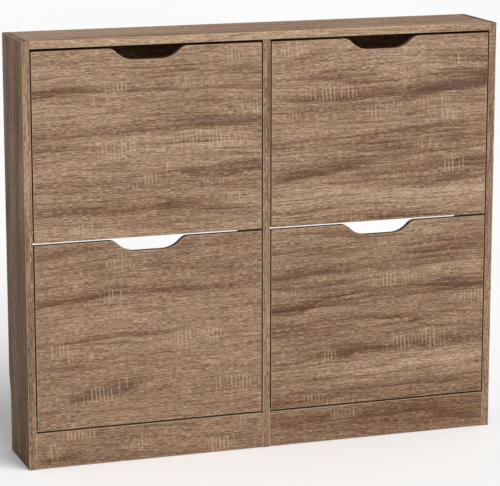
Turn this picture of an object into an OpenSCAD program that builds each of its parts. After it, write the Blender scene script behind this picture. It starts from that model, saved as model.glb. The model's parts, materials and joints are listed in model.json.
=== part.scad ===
// Slim shoe cabinet with four tilt-out flaps, two above two.
// Origin: centre of the footprint, on the floor. X to the right, Y to the back, Z up.

/* [Cabinet] */
// Overall width
cab_w = 1040; // [700:1:1400]
// Overall height
cab_h = 893; // [740:1:1200]
// Overall depth
cab_d = 170; // [140:0.1:260]
// Thickness of every carcass board and flap
board_t = 16; // [13:0.1:20]
// Height of the plinth's upper edge above the floor
plinth_top = 77; // [60:1:120]
// Gap between the plinth and the floor
plinth_lift = 1; // [0.5:0.1:5]
// How far the plinth sits behind the front edges
plinth_setback = 1; // [0.5:0.1:10]

/* [Rear rails and skirting notch] */
// Height of a rear rail
rail_h = 125; // [100:1:180]
// Gap between the skirting notch and the lower rail
rail_over_notch = 1; // [1:1:40]
// How far the sides are cut back for a skirting board
notch_d = 12; // [4:1:20]
// Height of the skirting notch
notch_h = 169; // [80:1:200]
// Height of the notch's slanted upper end
notch_slant = 44; // [5:1:60]
// Diameter of the wall screw holes in the upper rails
wall_hole_d = 7; // [4:0.1:9]
// Distance of the wall screw holes below the top board
wall_hole_drop = 62; // [45:1:80]

/* [Flaps] */
// Gap between a flap's side edge and the upright beside it
side_gap = 3; // [2:0.1:5]
// Gap between the plinth and the lower flaps
bottom_gap = 4.5; // [3.5:0.1:8]
// Gap between the lower and the upper flaps
middle_gap = 5; // [3.5:0.1:8]
// Gap between the upper flaps and the top board
top_gap = 5.5; // [3:0.1:8]
// Width of the finger cut-out at the flap's top edge
cutout_w = 170; // [120:1:220]
// Depth of the finger cut-out
cutout_depth = 24.5; // [18:0.1:35]
// Slope of the cut-out's ends in degrees
cutout_slope = 42; // [28:1:50]
// Radius of the cut-out's shoulders
cutout_lip_r = 23; // [10:1:35]
// Radius of the cut-out's inner corners
cutout_floor_r = 52; // [20:1:70]

/* [Pivots and guides] */
// Height of the pivot axis above a flap's bottom edge
pivot_up = 22; // [18:1:30]
// Diameter of the pivot pins
pin_d = 6; // [4:0.1:8]
// Radial clearance of a pivot pin in its bush
pin_clear = 0.05; // [0.02:0.01:0.1]
// Length of a pivot pin inside the flap's edge
pin_bite = 24; // [15:1:40]
// Wall of a pivot bush
bush_wall = 2; // [1:0.1:3]
// Thickness of a bush's flange
bush_flange_t = 1; // [0.5:0.1:1.5]
// Width of a bush's flange round its barrel
bush_flange_w = 2; // [1:0.1:4]
// Board left between the two blind bores in the divider
divider_web = 2; // [1:0.1:4]
// Opening angle of a flap in degrees
open_angle = 45; // [30:1:54]
// Diameter of the guide pegs
peg_d = 6; // [4:0.1:8]
// Clearance round a guide peg in its slot
peg_clear = 0.5; // [0.3:0.1:1]
// Distance of the guide pegs from the pivot axis
peg_radius = 92; // [80:1:96]
// Angle of the guide slot's lower end above the horizontal
slot_start = 22; // [21:1:24]
// How far a guide peg stands past its slot's raised lip
peg_overhang = 1; // [0.5:0.1:3]

/* [Shoe pockets] */
// Gap between a pocket's rear and the rails
pocket_clear = 10; // [5:1:30]
// Wall of the side brackets
bracket_t = 3; // [2:0.1:4]
// Distance of a bracket from the flap's side edge
bracket_inset = 4; // [3.5:0.1:10]
// How far a bracket reaches above the pivot axis
bracket_up = 243; // [200:1:270]
// How far a bracket reaches below the pivot axis
bracket_down = 14; // [10:1:16]
// Wall of a bracket's rim
rim_t = 2.5; // [2:0.1:4]
// Width of a bracket's rim
rim_w = 9; // [7:0.1:14]
// Width of a bracket's screw flange on the flap
flange_w = 18; // [14:1:26]
// Height of the raised lip round the guide slot
lip_t = 2; // [1:0.1:4]
// Width of the raised lip round the guide slot
lip_w = 2.5; // [1.5:0.1:4]
// Thickness of a pocket's shelf board
shelf_t = 10; // [8:0.1:16]
// Height of the shelf's underside above the pivot axis
shelf_up = 3; // [2:0.1:5]
// Play between a shelf and the parts round it
shelf_play = 0.5; // [0.2:0.1:1]
// Diameter of the retaining bars
bar_d = 6; // [5:0.1:8]
// Heights of the two retaining bars above the pivot axis
bar_heights = [72, 136];

/* [Fasteners] */
// Diameter of the cam housings
cam_d = 15; // [12:0.1:16]
// Board left behind a cam housing
cam_skin = 3.5; // [2:0.1:5]
// Distance of a cam's centre from the board's end
cam_in = 24; // [20:1:34]
// Diameter of a connecting bolt's shaft
bolt_d = 6; // [5:0.1:7]
// Diameter of a connecting bolt's thread
bolt_thread_d = 5; // [4:0.1:6]
// Board left behind a connecting bolt's thread
bolt_skin = 5; // [2:0.1:8]
// Diameter of the dowels
dowel_d = 8; // [6:0.1:9]
// Length of a dowel inside a board's end
dowel_in = 18; // [15:1:25]
// Distance of the bolts in the top board from its long edges
top_bolt_edge = 37; // [30:1:50]
// Distance between a bolt and the dowel beside it
dowel_pitch = 32; // [24:1:40]
// Diameter of the screws' shank
screw_d = 3.5; // [3:0.1:4.5]
// Length of the screws
screw_len = 15; // [12:0.1:15]
// Diameter of the screws' head
screw_head_d = 7; // [6:0.1:8]
// Height of the screws' head
screw_head_t = 2.2; // [1.5:0.1:3]

/* [Hidden] */
$fn = 48;
eps = 0.01;
arc_steps = 8;

OAK_FACE = "#93795f";
OAK_SIDE = "#7d6452";
OAK_EDGE = "#a08467";
BLACK_PLASTIC = "#262524";
STEEL = "silver";
BEECH = "burlywood";

LEFT = -1;
RIGHT = 1;
LOWER = 0;
UPPER = 1;

// Compartments between the uprights
bay_w = (cab_w - 3 * board_t) / 2;
bay_x = (board_t + bay_w) / 2;
inner_x = board_t / 2;
outer_x = cab_w / 2 - board_t;
front_y = -cab_d / 2;
back_y = cab_d / 2;
under_top = cab_h - board_t;

// Rails and plinths
rail_y = back_y - board_t;
lower_rail_z = notch_h + rail_over_notch;
upper_rail_z = under_top - rail_h;
plinth_h = plinth_top - plinth_lift;
plinth_y = front_y + plinth_setback;

// Flaps, each drawn about its own pivot axis in the middle of its thickness
flap_w = bay_w - 2 * side_gap;
flap_h = (under_top - plinth_top - bottom_gap - middle_gap - top_gap) / 2;
flap_half = board_t / 2;
flap_base = -pivot_up;
flap_top = flap_h - pivot_up;
pivot_y = front_y + flap_half;
pivot_step = flap_h + middle_gap;
pivot_z = plinth_top + bottom_gap + pivot_up;

// Board joints
bolt_head_len = 4;
bolt_neck_len = 5;
bolt_neck_d = 3.5;
bolt_play = 1;
cam_recess_w = 1.6;
cam_recess_d = 2.5;

// Finger cut-outs
cutout_land = 1;

// Pivots and guide slots
blind_depth = (board_t - divider_web) / 2;
bush_bore_d = pin_d + 2 * pin_clear;
bush_d = bush_bore_d + 2 * bush_wall;
pin_end_gap = 1;
peg_angle = slot_start + open_angle;
slot_w = peg_d + 2 * peg_clear;
peg_out = side_gap + bracket_inset + bracket_t + lip_t + peg_overhang;

// Brackets
bracket_x = flap_w / 2 - bracket_inset;
pocket_d = cab_d - 2 * board_t - pocket_clear;
pocket_rear = flap_half + pocket_d;
shelf_w = 2 * (bracket_x - bracket_t - shelf_play);
ledge_t = 2.5;
ledge_w = 12;
clip_w = 6;
clip_len = 22;
clip_in = 14;
heel_cut = 11;
heel_r = 10;
shoulder_rise = 22;
shoulder_r = 40;
head_depth = 34;
head_r = 24;
bar_inset = 10;
bar_socket = 1;
boss_wall = 3;
boss_len = 10;
flange_screw_heights = [24, bracket_up / 2, bracket_up - 17];
shelf_screw_in = 34;
shelf_screw_depths = [shelf_screw_in, pocket_d - shelf_screw_in];
screw_side = 11;
head_recess_w = 1;
head_recess_d = 1.2;

// ---------- outlines ----------

function unit(v) = v / norm(v);

// Half the angle between the edges from p towards a and b
function half_angle(a, p, b) = acos(unit(a - p) * unit(b - p)) / 2;

// Points of the arc of radius r that rounds the corner p between a and b
function corner(a, p, b, r) =
    let (
        u = unit(a - p),
        v = unit(b - p),
        half = half_angle(a, p, b),
        centre = p + unit(u + v) * r / sin(half),
        from = p + u * r / tan(half) - centre,
        to = p + v * r / tan(half) - centre,
        turn = 180 - 2 * half
    )
    [for (i = [0 : arc_steps])
        centre + (from * sin(turn * (1 - i / arc_steps)) + to * sin(turn * i / arc_steps)) / sin(turn)];

// A closed outline whose corners are rounded by the radii given, 0 for a sharp one
function rounded(pts, radii) =
    let (n = len(pts))
    [for (i = [0 : n - 1])
        each radii[i] == 0
            ? [pts[i]]
            : corner(pts[(i + n - 1) % n], pts[i], pts[(i + 1) % n], radii[i])];

// A convex outline's corners moved inwards by the distance d
function inset(pts, d) =
    let (n = len(pts))
    [for (i = [0 : n - 1])
        let (a = pts[(i + n - 1) % n], p = pts[i], b = pts[(i + 1) % n])
        p + unit(unit(a - p) + unit(b - p)) * d / sin(half_angle(a, p, b))];

bracket_corners = [
    [flap_half, -bracket_down],
    [pocket_rear - heel_cut, -bracket_down],
    [pocket_rear, heel_cut - bracket_down],
    [pocket_rear, bar_heights[1] + shoulder_rise],
    [flap_half + head_depth, bracket_up],
    [flap_half, bracket_up]
];
bracket_radii = [3, heel_r, heel_r, shoulder_r, head_r, 3];

// ---------- placing ----------

// Extrudes a YZ outline along X, from x upwards
module along_x(x, length) {
    translate([x, 0, 0])
        rotate([90, 0, 90])
            linear_extrude(length)
                children();
}

module x_cylinder(x, d, length) {
    translate([x, 0, 0])
        rotate([0, 90, 0])
            cylinder(d = d, h = length);
}

// Moves a flap's parts from the pivot axis to their place in the cabinet
module at_flap(side, row) {
    translate([side * bay_x, pivot_y, pivot_z + row * pivot_step])
        children();
}

module each_flap() {
    for (side = [LEFT, RIGHT], row = [LOWER, UPPER])
        at_flap(side, row)
            children();
}

module both_ends() {
    children();
    mirror([1, 0, 0])
        children();
}

module at_peg() {
    translate([0, peg_radius * cos(peg_angle), peg_radius * sin(peg_angle)])
        children();
}

// ---------- board joints ----------
// A joint's own frame has its origin on the face that a board butts against,
// +X into the butting board and +Z out of the face that holds the cam.

// Ends of one rail or plinth in one bay: children(0) at the side, children(1) at the divider
module at_bay_ends(side, y, z) {
    translate([side * outer_x, y, z])
        mirror([side == RIGHT ? 1 : 0, 0, 0])
            rotate([-90, 0, 0])
                children(0);
    translate([side * inner_x, y, z])
        mirror([side == RIGHT ? 0 : 1, 0, 0])
            rotate([-90, 0, 0])
                children(1);
}

// Rail ends and plinth ends, at each of the heights given above the board's middle
module at_all_bay_ends(rail_lifts, plinth_lifts) {
    for (side = [LEFT, RIGHT]) {
        for (z = [lower_rail_z, upper_rail_z], lift = rail_lifts)
            at_bay_ends(side, rail_y + board_t / 2, z + rail_h / 2 + lift) {
                children(0);
                children(1);
            }
        for (lift = plinth_lifts)
            at_bay_ends(side, plinth_y + board_t / 2, plinth_lift + plinth_h / 2 + lift) {
                children(0);
                children(1);
            }
    }
}

module at_top_ends(edge) {
    for (y = [front_y + edge, back_y - edge])
        both_ends()
            translate([-outer_x, y, cab_h - board_t / 2])
                rotate([180, 0, 0])
                    children();
}

module at_divider_top(edge) {
    for (y = [front_y + edge, back_y - edge])
        translate([0, y, under_top])
            rotate([0, 90, 0])
                children();
}

// children(0) at the sides and the top board, children(1) at the divider's faces
module each_bolt() {
    at_all_bay_ends([0], [dowel_pitch / 2]) {
        children(0);
        children(1);
    }
    at_top_ends(top_bolt_edge)
        children(0);
    at_divider_top(top_bolt_edge)
        children(0);
}

module each_dowel() {
    at_all_bay_ends([-dowel_pitch, dowel_pitch], [-dowel_pitch / 2]) {
        children();
        children();
    }
    at_top_ends(top_bolt_edge + dowel_pitch)
        children();
    at_divider_top(top_bolt_edge + dowel_pitch)
        children();
}

// Bolt with its thread of the given length behind the face and its head in the cam
module bolt(thread) {
    x_cylinder(-thread, bolt_thread_d, thread + eps);
    x_cylinder(0, bolt_d, cam_in - bolt_neck_len);
    x_cylinder(0, bolt_neck_d, cam_in);
    x_cylinder(cam_in - bolt_head_len / 2, bolt_d, bolt_head_len);
}

module bolt_hole(thread) {
    x_cylinder(-thread, bolt_thread_d, thread + eps);
    x_cylinder(-eps, bolt_d + bolt_play, cam_in);
}

module at_cam() {
    translate([cam_in, 0, cam_skin - board_t / 2])
        children();
}

module cam_hole() {
    at_cam()
        cylinder(d = cam_d, h = board_t - cam_skin + eps);
}

// Cam: a drum with a passage for the bolt's head and a cross recess in its face
module cam() {
    difference() {
        at_cam()
            cylinder(d = cam_d, h = board_t - cam_skin);
        x_cylinder(cam_in - cam_d, bolt_d + bolt_play, cam_d + bolt_head_len);
        translate([cam_in, 0, board_t / 2])
            cross_recess(cam_d / 2, cam_recess_w, cam_recess_d);
    }
}

module cross_recess(length, width, depth) {
    for (size = [[length, width], [width, length]])
        translate([-size[0] / 2, -size[1] / 2, -depth])
            cube([size[0], size[1], 2 * depth]);
}

module dowel() {
    x_cylinder(-blind_depth, dowel_d, blind_depth + dowel_in);
}

module joint_holes() {
    each_bolt() {
        bolt_hole(board_t - bolt_skin);
        bolt_hole(inner_x + eps);
    }
    each_bolt() {
        cam_hole();
        cam_hole();
    }
    each_dowel()
        dowel();
}

module pivot_holes() {
    each_flap()
        both_ends() {
            x_cylinder(bay_w / 2 - eps, bush_d, blind_depth + eps);
            at_peg()
                x_cylinder(bay_w / 2 - eps, peg_d, blind_depth + eps);
        }
}

// ---------- carcass ----------

module side_board(side) {
    color(OAK_SIDE)
        difference() {
            along_x(side == LEFT ? -cab_w / 2 : outer_x, board_t)
                polygon([
                    [front_y, 0],
                    [back_y - notch_d, 0],
                    [back_y - notch_d, notch_h - notch_slant],
                    [back_y, notch_h],
                    [back_y, cab_h],
                    [front_y, cab_h]
                ]);
            joint_holes();
            pivot_holes();
        }
}

module divider() {
    color(OAK_SIDE)
        difference() {
            along_x(-inner_x, board_t)
                polygon([
                    [front_y, 0],
                    [back_y - notch_d, 0],
                    [back_y - notch_d, notch_h - notch_slant],
                    [back_y, notch_h],
                    [back_y, under_top],
                    [front_y, under_top]
                ]);
            joint_holes();
            pivot_holes();
        }
}

module top_panel() {
    color(OAK_EDGE)
        difference() {
            translate([-outer_x, front_y, under_top])
                cube([2 * outer_x, cab_d, board_t]);
            joint_holes();
        }
}

module bay_board(side, y, z, height) {
    translate([side * bay_x - bay_w / 2, y, z])
        cube([bay_w, board_t, height]);
}

module plinth(side) {
    color(OAK_FACE)
        difference() {
            bay_board(side, plinth_y, plinth_lift, plinth_h);
            joint_holes();
        }
}

module lower_rail(side) {
    color(OAK_FACE)
        difference() {
            bay_board(side, rail_y, lower_rail_z, rail_h);
            joint_holes();
        }
}

module upper_rail(side) {
    color(OAK_FACE)
        difference() {
            bay_board(side, rail_y, upper_rail_z, rail_h);
            joint_holes();
            translate([side * bay_x, rail_y - eps, under_top - wall_hole_drop])
                rotate([-90, 0, 0])
                    cylinder(d = wall_hole_d, h = board_t + 2 * eps);
        }
}

// ---------- carcass hardware ----------

module pivot_bushes() {
    color(BLACK_PLASTIC)
        each_flap()
            both_ends()
                difference() {
                    union() {
                        x_cylinder(bay_w / 2, bush_d, blind_depth);
                        x_cylinder(bay_w / 2 - bush_flange_t, bush_d + 2 * bush_flange_w, bush_flange_t);
                    }
                    x_cylinder(bay_w / 2 - bush_flange_t - eps, bush_bore_d, blind_depth + bush_flange_t + 2 * eps);
                }
}

module guide_pegs() {
    color(STEEL)
        each_flap()
            both_ends()
                at_peg()
                    x_cylinder(bay_w / 2 - peg_out, peg_d, peg_out + blind_depth);
}

module cam_housings() {
    color(STEEL)
        each_bolt() {
            cam();
            cam();
        }
}

module connecting_bolts() {
    color(STEEL)
        each_bolt() {
            bolt(board_t - bolt_skin);
            bolt(inner_x);
        }
}

module dowels() {
    color(BEECH)
        each_dowel()
            dowel();
}

// ---------- flaps and pockets ----------

// Outline of a flap seen from the front, with the finger cut-out in its top edge
function flap_outline() =
    let (
        edge = flap_w / 2,
        run = cutout_depth / tan(cutout_slope),
        slant = cutout_depth / sin(cutout_slope),
        lead = cutout_lip_r * tan(cutout_slope / 2),
        lip = cutout_w / 2 - lead,
        floor_x = lip - run,
        floor_r = min(cutout_floor_r, (slant - lead - cutout_land) / tan(cutout_slope / 2))
    )
    rounded(
        [
            [-edge, flap_base], [edge, flap_base], [edge, flap_top],
            [lip, flap_top], [floor_x, flap_top - cutout_depth],
            [-floor_x, flap_top - cutout_depth], [-lip, flap_top], [-edge, flap_top]
        ],
        [0, 0, 0, cutout_lip_r, floor_r, floor_r, cutout_lip_r, 0]
    );

module flap() {
    color(OAK_FACE)
        difference() {
            translate([0, flap_half, 0])
                rotate([90, 0, 0])
                    linear_extrude(board_t)
                        polygon(flap_outline());
            both_ends()
                x_cylinder(flap_w / 2 - pin_bite, pin_d, pin_bite + eps);
            at_flange_screws()
                cylinder(d = screw_d, h = screw_len);
        }
}

// Frame of each flange screw: origin under its head, +Z into the flap
module at_flange_screws() {
    both_ends()
        for (z = flange_screw_heights)
            translate([bracket_x - screw_side, flap_half + rim_t, z])
                rotate([90, 0, 0])
                    children();
}

// Frame of each shelf screw: origin under its head, +Z into the shelf's end
module at_shelf_screws() {
    both_ends()
        for (y = shelf_screw_depths)
            translate([bracket_x, flap_half + y, shelf_up + shelf_t / 2])
                rotate([0, -90, 0])
                    children();
}

// Band of width w that follows the guide slot, standing t above the plane
module slot_band(w, t) {
    rotate([0, 0, slot_start])
        rotate_extrude(angle = open_angle)
            translate([peg_radius - w / 2, 0])
                square([w, t]);
    for (a = [slot_start, peg_angle])
        rotate([0, 0, a])
            translate([peg_radius, 0, 0])
                cylinder(d = w, h = t);
}

module at_bars() {
    for (z = bar_heights)
        translate([0, pocket_rear - bar_inset, z])
            children();
}

// Right-hand bracket: a plate with a rim, a screw flange, shelf ledges and bar sockets
module bracket_right() {
    inner_face = bracket_x - bracket_t;
    color(BLACK_PLASTIC)
        difference() {
            union() {
                along_x(inner_face, bracket_t)
                    polygon(rounded(bracket_corners, bracket_radii));
                difference() {
                    along_x(bracket_x - rim_w, rim_w)
                        polygon(rounded(bracket_corners, bracket_radii));
                    along_x(bracket_x - rim_w - eps, rim_w + 2 * eps)
                        polygon(rounded(inset(bracket_corners, rim_t), [for (r = bracket_radii) r - rim_t]));
                }
                along_x(bracket_x - flange_w, flange_w)
                    translate([flap_half, -bracket_down])
                        square([rim_t, bracket_down + bracket_up]);
                along_x(bracket_x - ledge_w, ledge_w)
                    translate([flap_half, shelf_up - ledge_t])
                        square([pocket_d - rim_t, ledge_t]);
                for (y = [flap_half + clip_in, pocket_rear - clip_in - clip_len])
                    along_x(inner_face - clip_w, clip_w + eps)
                        translate([y, shelf_up + shelf_t])
                            square([clip_len, ledge_t]);
                at_bars()
                    x_cylinder(bracket_x - boss_len, bar_d + 2 * boss_wall, boss_len);
                translate([inner_face - lip_t, 0, 0])
                    rotate([90, 0, 90])
                        slot_band(slot_w + 2 * lip_w, lip_t + eps);
            }
            translate([inner_face - lip_t - eps, 0, 0])
                rotate([90, 0, 90])
                    slot_band(slot_w, bracket_t + lip_t + 2 * eps);
            at_bars()
                x_cylinder(bracket_x - boss_len - eps, bar_d, boss_len - bracket_t + bar_socket + eps);
            at_flange_screws()
                translate([0, 0, -eps])
                    cylinder(d = screw_d, h = screw_len);
            at_shelf_screws()
                translate([0, 0, -eps])
                    cylinder(d = screw_d, h = screw_len);
        }
}

module bracket_left() {
    mirror([1, 0, 0])
        bracket_right();
}

module shelf() {
    color(OAK_FACE)
        difference() {
            translate([-shelf_w / 2, flap_half + rim_t + shelf_play, shelf_up])
                cube([shelf_w, pocket_d - 2 * rim_t - 2 * shelf_play, shelf_t]);
            at_shelf_screws()
                cylinder(d = screw_d, h = screw_len);
        }
}

module bars() {
    bar_end = bracket_x - bracket_t + bar_socket;
    color(STEEL)
        at_bars()
            x_cylinder(-bar_end, bar_d, 2 * bar_end);
}

module pivot_pins() {
    color(STEEL)
        both_ends()
            x_cylinder(flap_w / 2 - pin_bite, pin_d, pin_bite + side_gap + blind_depth - pin_end_gap);
}

module screw() {
    difference() {
        union() {
            translate([0, 0, -screw_head_t])
                cylinder(d = screw_head_d, h = screw_head_t);
            translate([0, 0, -eps])
                cylinder(d = screw_d, h = screw_len + eps);
        }
        translate([0, 0, -screw_head_t])
            cross_recess(screw_head_d / 2, head_recess_w, head_recess_d);
    }
}

module screws() {
    color(STEEL) {
        at_flange_screws()
            screw();
        at_shelf_screws()
            screw();
    }
}

side_board(LEFT);  // left_side
side_board(RIGHT);  // right_side
divider();
top_panel();
plinth(LEFT);  // left_plinth
plinth(RIGHT);  // right_plinth
upper_rail(LEFT);  // upper_left_rail
upper_rail(RIGHT);  // upper_right_rail
lower_rail(LEFT);  // lower_left_rail
lower_rail(RIGHT);  // lower_right_rail
pivot_bushes();
guide_pegs();
cam_housings();
connecting_bolts();
dowels();
at_flap(LEFT, UPPER) flap();  // upper_left_flap
at_flap(LEFT, UPPER) bracket_left();  // upper_left_bracket_left
at_flap(LEFT, UPPER) bracket_right();  // upper_left_bracket_right
at_flap(LEFT, UPPER) shelf();  // upper_left_shelf
at_flap(LEFT, UPPER) bars();  // upper_left_bars
at_flap(LEFT, UPPER) pivot_pins();  // upper_left_pivot_pins
at_flap(LEFT, UPPER) screws();  // upper_left_screws
at_flap(RIGHT, UPPER) flap();  // upper_right_flap
at_flap(RIGHT, UPPER) bracket_left();  // upper_right_bracket_left
at_flap(RIGHT, UPPER) bracket_right();  // upper_right_bracket_right
at_flap(RIGHT, UPPER) shelf();  // upper_right_shelf
at_flap(RIGHT, UPPER) bars();  // upper_right_bars
at_flap(RIGHT, UPPER) pivot_pins();  // upper_right_pivot_pins
at_flap(RIGHT, UPPER) screws();  // upper_right_screws
at_flap(LEFT, LOWER) flap();  // lower_left_flap
at_flap(LEFT, LOWER) bracket_left();  // lower_left_bracket_left
at_flap(LEFT, LOWER) bracket_right();  // lower_left_bracket_right
at_flap(LEFT, LOWER) shelf();  // lower_left_shelf
at_flap(LEFT, LOWER) bars();  // lower_left_bars
at_flap(LEFT, LOWER) pivot_pins();  // lower_left_pivot_pins
at_flap(LEFT, LOWER) screws();  // lower_left_screws
at_flap(RIGHT, LOWER) flap();  // lower_right_flap
at_flap(RIGHT, LOWER) bracket_left();  // lower_right_bracket_left
at_flap(RIGHT, LOWER) bracket_right();  // lower_right_bracket_right
at_flap(RIGHT, LOWER) shelf();  // lower_right_shelf
at_flap(RIGHT, LOWER) bars();  // lower_right_bars
at_flap(RIGHT, LOWER) pivot_pins();  // lower_right_pivot_pins
at_flap(RIGHT, LOWER) screws();  // lower_right_screws
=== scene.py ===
"""Shoe cabinet in brown sawn-oak foil, with four tilting flaps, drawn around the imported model.

The boards and brackets are redrawn from their own CAD solids with eased edges. The small metal
and wooden parts keep their CAD shape and get a material. All lengths are in metres.
"""
import json
import math

import bmesh
import bpy
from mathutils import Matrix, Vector

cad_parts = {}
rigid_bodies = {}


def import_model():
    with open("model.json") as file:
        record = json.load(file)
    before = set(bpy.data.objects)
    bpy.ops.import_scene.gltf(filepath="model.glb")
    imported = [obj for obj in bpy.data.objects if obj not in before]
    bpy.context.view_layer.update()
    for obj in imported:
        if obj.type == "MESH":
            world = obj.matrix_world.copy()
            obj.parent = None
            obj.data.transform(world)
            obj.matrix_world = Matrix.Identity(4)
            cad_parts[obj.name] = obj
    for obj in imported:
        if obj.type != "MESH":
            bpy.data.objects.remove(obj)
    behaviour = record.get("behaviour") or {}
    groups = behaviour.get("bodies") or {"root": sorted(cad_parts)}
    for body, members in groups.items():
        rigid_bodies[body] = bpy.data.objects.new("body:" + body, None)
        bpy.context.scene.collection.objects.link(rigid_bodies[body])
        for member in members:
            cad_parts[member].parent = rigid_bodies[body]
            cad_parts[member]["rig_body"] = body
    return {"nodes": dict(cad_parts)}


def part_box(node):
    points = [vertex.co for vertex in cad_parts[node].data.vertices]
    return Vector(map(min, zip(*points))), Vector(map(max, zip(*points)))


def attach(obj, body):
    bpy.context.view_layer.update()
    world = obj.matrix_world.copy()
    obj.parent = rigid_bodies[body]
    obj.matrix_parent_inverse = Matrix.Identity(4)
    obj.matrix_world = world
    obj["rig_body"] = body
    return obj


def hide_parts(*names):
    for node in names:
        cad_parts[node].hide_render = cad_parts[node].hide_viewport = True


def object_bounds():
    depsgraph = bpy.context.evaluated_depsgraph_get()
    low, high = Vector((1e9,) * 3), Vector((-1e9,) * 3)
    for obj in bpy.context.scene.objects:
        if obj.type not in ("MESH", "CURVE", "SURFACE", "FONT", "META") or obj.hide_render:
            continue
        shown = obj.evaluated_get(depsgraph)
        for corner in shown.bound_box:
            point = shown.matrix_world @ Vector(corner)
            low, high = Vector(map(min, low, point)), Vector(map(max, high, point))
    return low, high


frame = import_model()
cad_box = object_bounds()

ROWS = ("upper", "lower")
SIDES = ("left", "right")
TAU = 2 * math.pi
FLAPS = [f"{row}_{side}" for row in ROWS for side in SIDES]


def srgb(red, green, blue):
    """A colour given as 0 to 255 display values, as the linear values that a shader takes."""
    def linear(v):
        v = v / 255
        return v / 12.92 if v <= 0.04045 else ((v + 0.055) / 1.055) ** 2.4
    return (linear(red), linear(green), linear(blue), 1.0)


class Shader:
    """A node material with short calls for the maths that a pattern needs."""

    def __init__(self, name):
        self.material = bpy.data.materials.new(name)
        self.material.use_nodes = True
        self.tree = self.material.node_tree
        self.tree.nodes.clear()
        self.surface = self.tree.nodes.new("ShaderNodeBsdfPrincipled")
        output = self.tree.nodes.new("ShaderNodeOutputMaterial")
        self.tree.links.new(self.surface.outputs["BSDF"], output.inputs["Surface"])
        self.where = self.tree.nodes.new("ShaderNodeTexCoord")

    def put(self, socket, value):
        """Links a socket, or sets its constant."""
        if isinstance(value, bpy.types.NodeSocket):
            self.tree.links.new(value, socket)
        else:
            socket.default_value = value

    def math(self, operation, a, b=0.0):
        node = self.tree.nodes.new("ShaderNodeMath")
        node.operation = operation
        self.put(node.inputs[0], a)
        self.put(node.inputs[1], b)
        return node.outputs[0]

    def add(self, *terms):
        total = terms[0]
        for term in terms[1:]:
            total = self.math("ADD", total, term)
        return total

    def times(self, *factors):
        product = factors[0]
        for factor in factors[1:]:
            product = self.math("MULTIPLY", product, factor)
        return product

    def axes(self, output="Object"):
        """x, y and z of the place, in metres, or of the direction that the surface faces."""
        node = self.tree.nodes.new("ShaderNodeSeparateXYZ")
        self.put(node.inputs[0], self.where.outputs[output])
        return node.outputs[0], node.outputs[1], node.outputs[2]

    def vector(self, x, y, z):
        node = self.tree.nodes.new("ShaderNodeCombineXYZ")
        for socket, value in zip(node.inputs, (x, y, z)):
            self.put(socket, value)
        return node.outputs[0]

    def scaled(self, *scales):
        """The place, with x, y and z each times its scale: features get 1 / scale metres wide."""
        return self.vector(*(self.times(axis, scale) for axis, scale in zip(self.axes(), scales)))

    def noise(self, place, detail=2.0, roughness=0.5):
        """Noise about 0.5 whose features are 1 unit of place wide."""
        node = self.tree.nodes.new("ShaderNodeTexNoise")
        self.put(node.inputs["Vector"], place)
        node.inputs["Scale"].default_value = 1.0
        node.inputs["Detail"].default_value = detail
        node.inputs["Roughness"].default_value = roughness
        return node.outputs["Fac"]

    def cells(self, place):
        """Distance to the nearest of randomly strewn points, about 1 unit of place apart."""
        node = self.tree.nodes.new("ShaderNodeTexVoronoi")
        self.put(node.inputs["Vector"], place)
        node.inputs["Scale"].default_value = 1.0
        return node.outputs["Distance"]

    def swing(self, noise, reach):
        """Noise about 0 instead of 0.5, times reach."""
        return self.times(self.math("SUBTRACT", noise, 0.5), reach)

    def step(self, value, low, high):
        """0 below low, 1 above high, and a smooth rise between them. Falls if low is above high."""
        node = self.tree.nodes.new("ShaderNodeMapRange")
        node.interpolation_type = "SMOOTHSTEP"
        rising = low < high
        self.put(node.inputs["Value"], value)
        node.inputs["From Min"].default_value = min(low, high)
        node.inputs["From Max"].default_value = max(low, high)
        node.inputs["To Min"].default_value = 0.0 if rising else 1.0
        node.inputs["To Max"].default_value = 1.0 if rising else 0.0
        return node.outputs["Result"]

    def ramp(self, value, *stops):
        node = self.tree.nodes.new("ShaderNodeValToRGB")
        self.put(node.inputs[0], value)
        elements = node.color_ramp.elements
        elements[0].position, elements[0].color = stops[0]
        elements[1].position, elements[1].color = stops[-1]
        for position, colour in stops[1:-1]:
            elements.new(position).color = colour
        return node.outputs[0]

    def mix(self, share, first, second):
        node = self.tree.nodes.new("ShaderNodeMix")
        node.data_type = "RGBA"
        self.put(node.inputs["Factor"], share)
        self.put(node.inputs[6], first)
        self.put(node.inputs[7], second)
        return node.outputs[2]

    def bump(self, height, depth, strength=0.5):
        node = self.tree.nodes.new("ShaderNodeBump")
        node.inputs["Strength"].default_value = strength
        node.inputs["Distance"].default_value = depth
        self.put(node.inputs["Height"], height)
        self.put(self.surface.inputs["Normal"], node.outputs["Normal"])

    def finish(self, **sockets):
        """Sets the surface's own sockets, named with _ for a space, and returns the material."""
        for name, value in sockets.items():
            self.put(self.surface.inputs[name.replace("_", " ")], value)
        return self.material


# The foil

FOIL_DARK = srgb(82, 56, 39)
FOIL_BROWN = srgb(113, 88, 69)
FOIL_TAN = srgb(139, 113, 91)
FOIL_PALE = srgb(159, 134, 110)
FOIL_LIGHT = srgb(183, 159, 132)
FOIL_RED = srgb(124, 87, 64)
FOIL_PLUM = srgb(94, 75, 67)
# Painted shade for the flaps' edge faces in their narrow gaps.
GAP_SHADE_BLACK = srgb(34, 25, 19)
SPECK_PALE = srgb(214, 203, 190)
CHIP_PALE = srgb(176, 150, 112)
CHIP_DARK = srgb(116, 86, 56)


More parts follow.
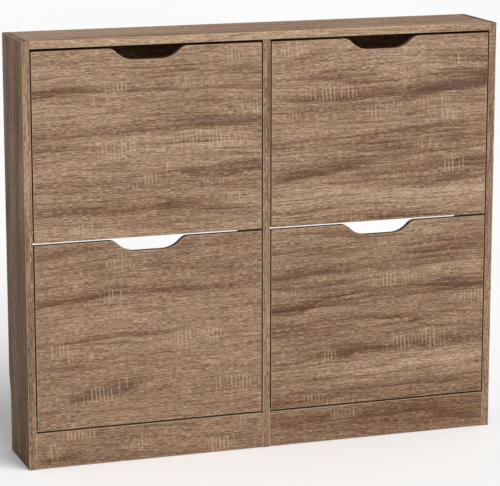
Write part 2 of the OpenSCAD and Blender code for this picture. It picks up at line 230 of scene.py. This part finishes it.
# Noise layers of the foil: length along the grain and width across it in metres, an offset that
# keeps the layers apart, the noise's detail and its roughness.
LAYERS = {
    "sweep": (0.45, 0.20, 0.1, 1.0, 0.5),
    "bend": (0.11, 0.045, 3.7, 2.0, 0.5),
    "ripple": (0.024, 0.012, 6.1, 1.0, 0.5),
    "bands": (0.80, 0.060, 11.3, 1.0, 0.5),
    "broad_ring_drift": (0.6, 0.06, 13.1, 2.0, 0.5),
    "broad_ring_patches": (0.35, 0.05, 14.9, 1.0, 0.5),
    "fine_ring_drift": (0.6, 0.06, 15.7, 2.0, 0.5),
    "fine_ring_patches": (0.16, 0.02, 16.3, 1.0, 0.5),
    "streaks": (0.22, 0.0062, 17.9, 2.0, 0.6),
    "lines": (0.050, 0.0017, 23.1, 2.0, 0.5),
    "fibre": (0.0105, 0.0013, 26.9, 1.0, 0.5),
    "pores": (0.0110, 0.0015, 29.7, 1.0, 0.5),
    "veins": (0.13, 0.0034, 30.3, 1.0, 0.4),
    "red": (0.14, 0.012, 31.3, 2.0, 0.5),
    "plum": (0.12, 0.014, 37.9, 2.0, 0.5),
    "saw_bend": (0.05, 0.03, 41.1, 2.0, 0.5),
    "saw_drift": (0.03, 0.2, 42.3, 2.0, 0.5),
    "saw_columns": (0.0060, 0.060, 43.7, 1.0, 0.5),
    "saw_patches": (0.10, 0.040, 47.3, 2.0, 0.5),
    "saw_regions": (0.22, 0.12, 53.9, 0.0, 0.5),
    "threads": (0.05, 0.0034, 59.3, 1.0, 0.5),
}
# How far the first three layers shift the figure across the grain, in metres.
SHIFTS = {"sweep": 0.036, "bend": 0.008, "ripple": 0.0022}
# Layers that keep to the board and don't follow the shifted figure.
STRAIGHT = {*SHIFTS, "saw_bend", "saw_drift", "saw_columns", "saw_regions"}
# The values of a layer between which its marks rise from nothing to full strength.
RISES = {
    "broad_ring_patches": (0.42, 0.66),
    "fine_ring_patches": (0.42, 0.62),
    "pores": (0.56, 0.66),
    "veins": (0.56, 0.68),
    "red": (0.46, 0.62),
    "plum": (0.50, 0.64),
    "saw_columns": (0.36, 0.56),
    "saw_patches": (0.54, 0.62),
    "saw_regions": (0.45, 0.60),
    "threads": (0.48, 0.70),
}
# How much each layer darkens or lightens the shade, which runs from 0, dark, to 1, light.
SHADES = {
    "bands": 0.55, "broad_ring": -0.26, "fine_ring": -0.22, "streaks": 0.15, "lines": 1.05, "fibre": 1.35,
}
# The share of its own colour that each kind of mark adds; corners is a painted highlight along the eased
# arrises.
SHARES = {
    "red": 0.22, "plum": 0.40, "pores": 0.38, "veins": 0.42, "ticks": 0.46, "threads": 0.12,
    "specks": 0.7, "corners": 0.65,
}
MIDDLE_SHADE = 0.57
STROKE_SHADE = 0.8
MOST_PLUM = 0.8
# The pitch of each kind of growth ring in metres, and the reach of its drift in pitches.
RING_PITCHES = {"broad_ring": (0.052, 3.0), "fine_ring": (0.0135, 2.0)}
SAW_PITCH = 0.0085
SAW_LEAN = 0.06
# Features per metre of the specks, of the chipboard's flakes and of the dust between them.
SPECK_SCALE = 9.0
CHIP_SCALES = (420.0, 420.0, 240.0)
DUST_SCALE = 900.0


def spot(node, share_x, share_z):
    """Where a share of the way along and up a board's front face lies, along and across its grain."""
    low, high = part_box(node)
    return low.x + share_x * (high.x - low.x), low.z + share_z * (high.z - low.z) + low.y


class Foil(Shader):
    """Sawn-oak foil. grain is "up" or "along"; slope is how fast the figure climbs along the grain."""

    def __init__(self, name, grain, seed, slope):
        super().__init__(name)
        x, y, z = self.axes()
        self.seed = seed
        self.slope = slope
        self.made = {}
        self.along, self.across = (z, self.add(x, y)) if grain == "up" else (x, self.add(z, y))
        shifts = [self.swing(self.layer(key), reach) for key, reach in SHIFTS.items()]
        self.figure = self.add(self.across, self.times(self.along, -slope), *shifts)

    def layer(self, key):
        """One of the noise layers, made when it is first asked for."""
        if key not in self.made:
            length, width, offset, detail, roughness = LAYERS[key]
            over = self.across if key in STRAIGHT else self.figure
            along, across = self.times(self.along, 1 / length), self.times(over, 1 / width)
            self.made[key] = self.noise(self.vector(along, across, self.seed + offset), detail, roughness)
        return self.made[key]

    def marks(self, key):
        """1 where a layer's marks are, and 0 between them."""
        return self.step(self.layer(key), *RISES[key])

    def rings(self, kind):
        """Growth rings: dark at a sharp lower edge and paler upwards."""
        pitch, wander = RING_PITCHES[kind]
        drift = self.swing(self.layer(f"{kind}_drift"), wander)
        phase = self.add(self.times(self.figure, 1 / pitch), drift)
        up = self.math("SUBTRACT", 1.0, self.math("FRACT", phase))
        ring = self.times(self.math("POWER", up, 2.0), self.step(up, 1.0, 0.95))
        return self.times(ring, self.marks(f"{kind}_patches"))

    def offset_from(self, place):
        """Distances from a place, along the grain and across it."""
        at, off = place
        return self.math("SUBTRACT", self.along, at), self.add(self.figure, self.slope * at - off)

    def stroke(self, place, half_length, half_height, climb):
        """A dark flame with a soft upper side and a sharp lower one."""
        du, dv = self.offset_from(place)
        dv = self.add(dv, self.times(du, -climb))
        du = self.times(du, 1 / half_length)
        dv = self.math("MAXIMUM", self.times(dv, 1 / half_height), self.times(dv, -4.0 / half_height))
        far = self.add(self.math("POWER", self.math("ABSOLUTE", du), 4.0), self.times(dv, dv))
        return self.math("EXPONENT", self.times(far, -1.0))

    def saw_patches(self, combs):
        """Where the saw marks are: random patches, and those named in combs."""
        patch = self.times(self.marks("saw_patches"), self.marks("saw_regions"))
        ragged = (self.swing(self.layer("saw_columns"), 2.2), self.swing(self.layer("streaks"), 1.0))
        for place, half_length, half_height in combs:
            du, dv = self.offset_from(place)
            du, dv = self.times(du, 1 / half_length), self.times(dv, 1 / half_height)
            far = self.add(self.times(du, du), self.times(dv, dv), *ragged)
            patch = self.math("MAXIMUM", patch, self.step(far, 1.20, 0.60))
        return patch

    def saw_ticks(self):
        """Pale ticks across the grain, a saw tooth apart."""
        bend = self.swing(self.layer("saw_bend"), 0.003)
        leaning = self.add(self.along, self.times(self.across, SAW_LEAN), bend)
        drift = self.swing(self.layer("saw_drift"), 8.0)
        teeth = self.math("SINE", self.add(self.times(leaning, TAU / SAW_PITCH), drift))
        return self.times(self.step(teeth, 0.0, 0.95), self.marks("saw_columns"))

    def specks(self):
        """Rare pale specks."""
        x, y, z = self.axes()
        up = self.add(self.times(z, SPECK_SCALE), self.seed)
        distance = self.cells(self.vector(self.times(x, SPECK_SCALE), self.times(y, SPECK_SCALE), up))
        return self.step(distance, 0.016, 0.008)

    def chipboard(self):
        """The colour and the flakes of a raw chipboard edge."""
        flake = self.cells(self.scaled(*CHIP_SCALES))
        dust = self.noise(self.scaled(DUST_SCALE, DUST_SCALE, DUST_SCALE), 2.0)
        shade = self.add(self.times(flake, 0.55), self.swing(dust, 0.9), 0.25)
        return self.ramp(shade, (0.2, CHIP_PALE), (0.85, CHIP_DARK)), flake


def oak(
    name, thin_axis, grain, seed, slope=0.0, tone_and_shade=0.0, contrast=1.0, marks=1.0, strokes=(), combs=(),
    painted_front_light=0.0, painted_edge_shade=0.0, raw_back=False,
):
    """Sawn-oak foil on a board whose thickness runs along axis number thin_axis.

    tone lightens the whole board and painted_front_light its front and back faces. On the uprights the
    first is negative and the second positive, which paints the shade of their side faces. contrast
    strengthens the figure and marks the saw marks, and painted_edge_shade darkens the board's edge faces,
    a painted shade of the narrow gaps between the flaps.
    strokes holds (place, half length, half height, climb, shade, plum) of each dark flame, and
    combs holds (place, half length, half height) of each patch of saw marks.
    """
    s = Foil(name, grain, seed, slope)
    normal = s.axes("Normal")
    fore = s.math("ABSOLUTE", normal[1])
    face = s.math("ABSOLUTE", normal[thin_axis])
    lines, streaks, pores = s.layer("lines"), s.layer("streaks"), s.marks("pores")

    shade = s.add(
        MIDDLE_SHADE + tone_and_shade,
        s.swing(s.layer("bands"), SHADES["bands"] * contrast),
        s.times(s.rings("broad_ring"), SHADES["broad_ring"] * contrast),
        s.times(s.rings("fine_ring"), SHADES["fine_ring"] * contrast),
        s.swing(streaks, SHADES["streaks"] * contrast),
        s.swing(lines, SHADES["lines"]),
        s.swing(s.layer("fibre"), SHADES["fibre"]),
        s.times(s.step(fore, 0.80, 0.95), painted_front_light),
    )
    plum_strokes = 0.0
    for place, half_length, half_height, climb, darkness, plum in strokes:
        stroke = s.stroke(place, half_length, half_height, climb)
        shade = s.add(shade, s.times(stroke, -STROKE_SHADE * darkness))
        plum_strokes = s.add(plum_strokes, s.times(stroke, plum))
    colour = s.ramp(
        shade,
        (0.02, FOIL_DARK),
        (0.30, FOIL_BROWN),
        (0.52, FOIL_TAN),
        (0.74, FOIL_PALE),
        (1.00, FOIL_LIGHT),
    )

    # Reddish and plum-grey tints in the darker bands, then pores and veins.
    dark = s.step(shade, 0.60, 0.25)
    plum = s.add(s.times(s.marks("plum"), dark, SHARES["plum"]), plum_strokes)
    colour = s.mix(s.times(s.marks("red"), dark, SHARES["red"]), colour, FOIL_RED)
    colour = s.mix(s.math("MINIMUM", plum, MOST_PLUM), colour, FOIL_PLUM)
    colour = s.mix(s.times(pores, SHARES["pores"]), colour, FOIL_DARK)
    colour = s.mix(s.times(s.marks("veins"), SHARES["veins"]), colour, FOIL_DARK)

    # Saw marks, crossed by fine pale threads.
    patch = s.saw_patches(combs)
    ticks = s.times(s.saw_ticks(), patch, SHARES["ticks"] * marks)
    threads = s.times(s.marks("threads"), patch, SHARES["threads"] * marks)
    colour = s.mix(s.math("MAXIMUM", ticks, threads), colour, FOIL_LIGHT)
    colour = s.mix(s.times(s.specks(), SHARES["specks"]), colour, SPECK_PALE)

    # Painted shade: a board's edge faces may be darkened towards black, for the shade in the narrow gaps
    # between the flaps. Painted highlight: its eased corners are made paler, as where a rounded arris
    # catches the light.
    rim = s.step(face, 0.30, 0.20)
    corner = s.times(s.step(face, 0.20, 0.36), s.step(face, 0.98, 0.93))
    colour = s.mix(s.times(rim, painted_edge_shade), colour, GAP_SHADE_BLACK)
    colour = s.mix(s.times(corner, SHARES["corners"]), colour, FOIL_LIGHT)

    height = s.add(s.swing(lines, 0.8), s.times(pores, -0.8), s.times(ticks, 0.5), s.swing(streaks, 0.5))
    roughness = s.add(0.56, s.swing(lines, 0.14), s.times(pores, 0.10), s.times(patch, 0.04))
    if raw_back:
        raw = s.step(normal[1], 0.85, 0.97)
        chip, flake = s.chipboard()
        colour = s.mix(raw, colour, chip)
        height = s.add(s.times(height, s.math("SUBTRACT", 1.0, raw)), s.times(flake, raw, -1.6))
        roughness = s.add(roughness, s.times(raw, 0.35))
    s.bump(height, 0.00022, 0.55)
    return s.finish(Base_Color=colour, Roughness=roughness, Specular_IOR_Level=0.04)


def black_plastic(name):
    """Moulded black plastic with a fine spark-eroded grain and scuffs on its corners."""
    s = Shader(name)
    fine = s.noise(s.scaled(1900.0, 1900.0, 1900.0))
    cloud = s.noise(s.scaled(30.0, 30.0, 30.0), 3.0)
    scratch = s.noise(s.scaled(300.0, 34.0, 600.0), 3.0)
    nx, ny, nz = s.axes("Normal")
    flat = s.math("MAXIMUM", s.math("ABSOLUTE", nx), s.math("ABSOLUTE", ny))
    flat = s.math("MAXIMUM", flat, s.math("ABSOLUTE", nz))
    corner = s.step(flat, 0.97, 0.85)
    shade = s.add(s.times(cloud, 0.6), s.times(s.step(scratch, 0.62, 0.72), 0.5), s.times(corner, 0.35))
    colour = s.ramp(shade, (0.1, srgb(22, 22, 23)), (0.6, srgb(34, 34, 35)), (1.0, srgb(62, 61, 60)))
    roughness = s.add(0.34, s.times(fine, 0.12), s.times(cloud, 0.12))
    s.bump(fine, 0.00006)
    return s.finish(Base_Color=colour, Roughness=roughness)


def drawn_steel(name):
    """Bright drawn rod, with faint draw lines along its length."""
    s = Shader(name)
    lines = s.noise(s.scaled(7.0, 2600.0, 2600.0))
    cloud = s.noise(s.scaled(22.0, 60.0, 60.0), 3.0)
    shade = s.add(s.times(lines, 0.5), s.times(cloud, 0.5))
    colour = s.ramp(shade, (0.25, srgb(150, 149, 147)), (0.75, srgb(205, 204, 201)))
    roughness = s.add(0.18, s.times(lines, 0.14), s.times(cloud, 0.10))
    s.bump(lines, 0.00003, 0.4)
    return s.finish(Base_Color=colour, Roughness=roughness, Metallic=1.0)


def zinc(name):
    """Cast and plated zinc alloy, slightly mottled."""
    s = Shader(name)
    mottle = s.noise(s.scaled(160.0, 160.0, 160.0), 4.0, 0.6)
    sand = s.noise(s.scaled(1500.0, 1500.0, 1500.0))
    colour = s.ramp(mottle, (0.3, srgb(142, 143, 142)), (0.7, srgb(196, 195, 190)))
    roughness = s.add(0.28, s.times(mottle, 0.16), s.times(sand, 0.08))
    s.bump(sand, 0.00005)
    return s.finish(Base_Color=colour, Roughness=roughness, Metallic=1.0)


def beech(name):
    """Turned beech with short dark flecks along the dowel."""
    s = Shader(name)
    grain = s.noise(s.scaled(40.0, 900.0, 900.0), 3.0)
    fleck = s.noise(s.scaled(300.0, 2600.0, 2600.0), 1.0)
    colour = s.ramp(grain, (0.3, srgb(188, 148, 104)), (0.7, srgb(222, 188, 144)))
    colour = s.mix(s.times(s.step(fleck, 0.62, 0.7), 0.5), colour, srgb(150, 108, 70))
    s.bump(grain, 0.0001)
    return s.finish(Base_Color=colour, Roughness=s.add(0.55, s.times(grain, 0.2)))


# The boards and brackets

BOARD_EASE = 0.0010
BRACKET_EASE = 0.0004
# Joined edges that reach less far than these, such as the rim of a screw hole, stay sharp.
BOARD_LEAST = 0.04
BRACKET_LEAST = 0.02
SHARP_ANGLE = math.radians(30)
SMOOTH_ANGLE = math.radians(20)
FLAT_ANGLE = math.radians(0.3)
WELD = 0.00001


def sharp_groups(bm):
    """The sharp edges, in groups that share corners."""
    sharp = {e for e in bm.edges if len(e.link_faces) == 2 and e.calc_face_angle(0.0) > SHARP_ANGLE}
    groups = []
    while sharp:
        group, waiting = [], [sharp.pop()]
        while waiting:
            edge = waiting.pop()
            group.append(edge)
            for vert in edge.verts:
                for other in vert.link_edges:
                    if other in sharp:
                        sharp.discard(other)
                        waiting.append(other)
        groups.append(group)
    return groups


def extent(group):
    """The longest side of the box round a group of edges."""
    points = [v.co for e in group for v in e.verts]
    low = Vector(min(p[i] for p in points) for i in range(3))
    high = Vector(max(p[i] for p in points) for i in range(3))
    return max(high - low)


def eased(node, kind, width, least):
    """A copy of a CAD node whose long edges are rounded, as a new piece that stands for it."""
    source = frame["nodes"][node]
    bm = bmesh.new()
    bm.from_mesh(source.data)
    bmesh.ops.remove_doubles(bm, verts=bm.verts, dist=WELD)
    bmesh.ops.dissolve_limit(bm, angle_limit=FLAT_ANGLE, verts=bm.verts, edges=bm.edges)
    bm.normal_update()
    edges = [e for group in sharp_groups(bm) if extent(group) > least for e in group]
    bmesh.ops.bevel(
        bm, geom=edges, offset=width, segments=2, profile=0.5, affect="EDGES", clamp_overlap=True
    )
    bmesh.ops.dissolve_degenerate(bm, dist=WELD / 2, edges=bm.edges)
    bm.normal_update()
    mesh = bpy.data.meshes.new(f"{node}_mesh")
    bm.to_mesh(mesh)
    bm.free()
    mesh.shade_smooth()
    mesh.set_sharp_from_angle(angle=SMOOTH_ANGLE)
    piece = bpy.data.objects.new(f"{node}_{kind}", mesh)
    bpy.context.scene.collection.objects.link(piece)
    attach(piece, source["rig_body"])
    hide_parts(node)
    return piece


def dress(piece, material):
    """Gives a new piece its only material."""
    piece.data.materials.clear()
    piece.data.materials.append(material)


def dress_node(node, material):
    """Gives a CAD node its material without touching its mesh."""
    shown = frame["nodes"][node]
    for slot in shown.material_slots:
        slot.link = "OBJECT"
        slot.material = material


# Each board's own cut of the foil.
BOARD_FOILS = {
    # On the uprights every face is darkened and the front and back faces lifted again, a painted shade on
    # the side faces.
    "left_side": dict(
        slot="oak_upright", grain="up", seed=3.0, tone_and_shade=-0.18, contrast=1.9, marks=0.3,
        painted_front_light=0.15, raw_back=True,
    ),
    "right_side": dict(
        slot="oak_upright", grain="up", seed=61.0, tone_and_shade=-0.26, painted_front_light=0.18, raw_back=True
    ),
    "divider": dict(
        slot="oak_upright", grain="up", seed=97.0, tone_and_shade=-0.26, painted_front_light=0.22, raw_back=True
    ),
    "top_panel": dict(
        slot="oak_top", grain="along", seed=131.0, tone_and_shade=0.11, painted_front_light=0.05, raw_back=True
    ),
    "left_plinth": dict(
        slot="oak_plinth", grain="along", seed=173.0, tone_and_shade=-0.10, contrast=0.6,
        strokes=((spot("left_plinth", 0.12, 0.12), 0.040, 0.012, 0.05, 0.34, 0.10),),
        combs=((spot("left_plinth", 0.08, 0.35), 0.020, 0.020),),
    ),
    "right_plinth": dict(
        slot="oak_plinth", grain="along", seed=211.0, tone_and_shade=-0.18, contrast=0.8,
        strokes=(
            (spot("right_plinth", 0.88, 0.42), 0.060, 0.012, -0.10, 0.36, 0.20),
            (spot("right_plinth", 0.60, 0.60), 0.110, 0.006, 0.05, 0.30, 0.0),
        ),
        combs=((spot("right_plinth", 0.35, 0.72), 0.040, 0.012),),
    ),
    "upper_left_rail": dict(slot="oak_rail", grain="along", seed=251.0),
    "upper_right_rail": dict(slot="oak_rail", grain="along", seed=293.0),
    "lower_left_rail": dict(slot="oak_rail", grain="along", seed=331.0),
    "lower_right_rail": dict(slot="oak_rail", grain="along", seed=373.0),
    # The flaps' edge faces are darkened, a painted shade of the narrow gaps between them.
    "upper_left_flap": dict(
        slot="oak_flap", grain="along", seed=419.0, tone_and_shade=0.02, painted_edge_shade=0.45,
        strokes=(
            (spot("upper_left_flap", 0.30, 0.15), 0.20, 0.016, 0.02, 0.32, 0.0),
            (spot("upper_left_flap", 0.88, 0.56), 0.12, 0.016, 0.03, 0.24, 0.30),
            (spot("upper_left_flap", 0.06, 0.49), 0.07, 0.012, 0.02, 0.30, 0.0),
            (spot("upper_left_flap", 0.50, 0.755), 0.30, 0.006, -0.03, 0.34, 0.0),
            (spot("upper_left_flap", 0.75, 0.35), 0.16, 0.005, 0.05, 0.30, 0.0),
        ),
        combs=(
            (spot("upper_left_flap", 0.38, 0.48), 0.060, 0.017),
            (spot("upper_left_flap", 0.76, 0.49), 0.095, 0.024),
            (spot("upper_left_flap", 0.34, 0.79), 0.045, 0.014),
            (spot("upper_left_flap", 0.90, 0.20), 0.035, 0.015),
            (spot("upper_left_flap", 0.25, 0.06), 0.050, 0.018),
            (spot("upper_left_flap", 0.88, 0.94), 0.030, 0.020),
        ),
    ),
    "upper_right_flap": dict(
        slot="oak_flap", grain="along", seed=457.0, slope=0.02, tone_and_shade=0.00, contrast=1.30,
        painted_edge_shade=0.45,
        strokes=(
            (spot("upper_right_flap", 0.88, 0.72), 0.13, 0.022, 0.10, 0.55, 0.35),
            (spot("upper_right_flap", 0.35, 0.70), 0.17, 0.016, 0.00, 0.30, 0.10),
            (spot("upper_right_flap", 0.22, 0.27), 0.11, 0.022, 0.12, 0.46, 0.05),
            (spot("upper_right_flap", 0.72, 0.26), 0.15, 0.014, 0.03, 0.34, 0.0),
            (spot("upper_right_flap", 0.52, 0.485), 0.24, 0.005, 0.05, 0.34, 0.0),
        ),
        combs=(
            (spot("upper_right_flap", 0.52, 0.62), 0.048, 0.024),
            (spot("upper_right_flap", 0.76, 0.64), 0.045, 0.018),
            (spot("upper_right_flap", 0.28, 0.73), 0.085, 0.018),
            (spot("upper_right_flap", 0.10, 0.95), 0.035, 0.016),
            (spot("upper_right_flap", 0.60, 0.77), 0.012, 0.024),
            (spot("upper_right_flap", 0.85, 0.27), 0.035, 0.020),
        ),
    ),
    "lower_left_flap": dict(
        slot="oak_flap", grain="along", seed=491.0, slope=0.02, tone_and_shade=-0.07, contrast=0.40,
        painted_edge_shade=0.45,
        strokes=(
            (spot("lower_left_flap", 0.62, 0.715), 0.19, 0.011, 0.00, 0.34, 0.05),
            (spot("lower_left_flap", 0.16, 0.69), 0.11, 0.010, 0.04, 0.34, 0.0),
            (spot("lower_left_flap", 0.30, 0.17), 0.075, 0.016, 0.17, 0.52, 0.55),
            (spot("lower_left_flap", 0.30, 0.47), 0.18, 0.006, 0.05, 0.34, 0.0),
            (spot("lower_left_flap", 0.14, 0.94), 0.09, 0.012, 0.06, 0.26, 0.0),
        ),
        combs=(
            (spot("lower_left_flap", 0.33, 0.70), 0.030, 0.014),
            (spot("lower_left_flap", 0.28, 0.17), 0.050, 0.020),
            (spot("lower_left_flap", 0.08, 0.42), 0.035, 0.020),
            (spot("lower_left_flap", 0.70, 0.45), 0.075, 0.022),
            (spot("lower_left_flap", 0.88, 0.18), 0.060, 0.020),
        ),
    ),
    "lower_right_flap": dict(
        slot="oak_flap", grain="along", seed=541.0, slope=0.03, tone_and_shade=-0.05, contrast=1.25,
        painted_edge_shade=0.45,
        strokes=(
            (spot("lower_right_flap", 0.45, 0.755), 0.26, 0.030, 0.00, 0.30, 0.08),
            (spot("lower_right_flap", 0.66, 0.29), 0.20, 0.015, 0.00, 0.34, 0.06),
            (spot("lower_right_flap", 0.16, 0.55), 0.12, 0.007, 0.05, 0.34, 0.0),
            (spot("lower_right_flap", 0.82, 0.60), 0.14, 0.005, 0.09, 0.34, 0.0),
            (spot("lower_right_flap", 0.15, 0.04), 0.10, 0.012, 0.03, 0.26, 0.0),
        ),
        combs=(
            (spot("lower_right_flap", 0.56, 0.68), 0.060, 0.022),
            (spot("lower_right_flap", 0.92, 0.56), 0.040, 0.012),
            (spot("lower_right_flap", 0.60, 0.32), 0.035, 0.020),
            (spot("lower_right_flap", 0.09, 0.66), 0.025, 0.018),
            (spot("lower_right_flap", 0.27, 0.28), 0.020, 0.016),
        ),
    ),
    "upper_left_shelf": dict(slot="oak_shelf", grain="along", seed=577.0),
    "upper_right_shelf": dict(slot="oak_shelf", grain="along", seed=613.0),
    "lower_left_shelf": dict(slot="oak_shelf", grain="along", seed=653.0),
    "lower_right_shelf": dict(slot="oak_shelf", grain="along", seed=701.0),
}
for node, foil in BOARD_FOILS.items():
    low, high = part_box(node)
    thin_axis = min(range(3), key=lambda axis: high[axis] - low[axis])
    settings = {key: value for key, value in foil.items() if key != "slot"}
    board = eased(node, "board", BOARD_EASE, BOARD_LEAST)
    dress(board, oak(f"foil_{node}", thin_axis, **settings))

plastic = black_plastic("black_plastic")
steel = drawn_steel("steel")
plated = zinc("zinc")
dowel_wood = beech("beech")
for flap in FLAPS:
    for side in SIDES:
        bracket = eased(f"{flap}_bracket_{side}", "moulding", BRACKET_EASE, BRACKET_LEAST)
        dress(bracket, plastic)
    dress_node(f"{flap}_bars", steel)
    dress_node(f"{flap}_pivot_pins", steel)
    dress_node(f"{flap}_screws", plated)
dress_node("pivot_bushes", plastic)
dress_node("guide_pegs", steel)
dress_node("connecting_bolts", steel)
dress_node("cam_housings", plated)
dress_node("dowels", dowel_wood)


# Floor, light and camera

def pale_floor(name):
    """Near-white paint, very slightly uneven."""
    s = Shader(name)
    x, y, _ = s.axes()
    cloud = s.noise(s.vector(s.times(x, 0.7), s.times(y, 0.7), 4.0), 3.0)
    colour = s.ramp(cloud, (0.2, (0.90, 0.90, 0.90, 1.0)), (0.8, (0.94, 0.94, 0.94, 1.0)))
    return s.finish(Base_Color=colour, Roughness=0.8, Specular_IOR_Level=0.1)


FLOOR_REACH = 30.0
AMBIENT = 0.50
KEY_DIRECTION = (-0.44, 0.78, -0.68)
KEY_STRENGTH = 2.95
KEY_SOFTNESS = 60

floor_mesh = bpy.data.meshes.new("floor_mesh")
signs = ((-1, -1), (1, -1), (1, 1), (-1, 1))
corners = [(across * FLOOR_REACH, back * FLOOR_REACH, 0.0) for across, back in signs]
floor_mesh.from_pydata(corners, [], [(0, 1, 2, 3)])
floor_mesh.materials.append(pale_floor("floor"))
floor = bpy.data.objects.new("floor", floor_mesh)
bpy.context.scene.collection.objects.link(floor)

world = bpy.data.worlds.new("studio")
world.use_nodes = True
background = world.node_tree.nodes["Background"]
background.inputs["Color"].default_value = (1.0, 1.0, 1.0, 1.0)
background.inputs["Strength"].default_value = AMBIENT
bpy.context.scene.world = world


def soft_light(name, direction, strength, softness):
    """Even light from one side of the studio, as a wide, far lamp."""
    lamp = bpy.data.lights.new(name, "SUN")
    lamp.energy = strength
    lamp.angle = math.radians(softness)
    holder = bpy.data.objects.new(name, lamp)
    holder.rotation_mode = "QUATERNION"
    holder.rotation_quaternion = Vector(direction).to_track_quat("-Z", "Y")
    bpy.context.scene.collection.objects.link(holder)


soft_light("key_light", KEY_DIRECTION, KEY_STRENGTH, KEY_SOFTNESS)

# The camera stands to the left of the cabinet and looks down at it.
VIEW_TURN = math.radians(19.0)
VIEW_DIP = math.radians(11.9)
VIEW_DISTANCE = 5.0
VIEW_TARGET = Vector((-0.037, cad_box[0].y, 0.4495))
VIEW_LENS = 171.5
SENSOR_WIDTH = 36.0

look = Vector((
    math.sin(VIEW_TURN) * math.cos(VIEW_DIP),
    math.cos(VIEW_TURN) * math.cos(VIEW_DIP),
    -math.sin(VIEW_DIP),
))
camera = bpy.data.objects.new("camera", bpy.data.cameras.new("camera"))
camera.data.lens = VIEW_LENS
camera.data.sensor_width = SENSOR_WIDTH
camera.data.clip_start, camera.data.clip_end = 0.1, 100.0
camera.location = VIEW_TARGET - look * VIEW_DISTANCE
camera.rotation_euler = (math.pi / 2 - VIEW_DIP, 0.0, -VIEW_TURN)
bpy.context.scene.collection.objects.link(camera)
bpy.context.scene.camera = camera
bpy.context.scene.view_settings.view_transform = "Standard"
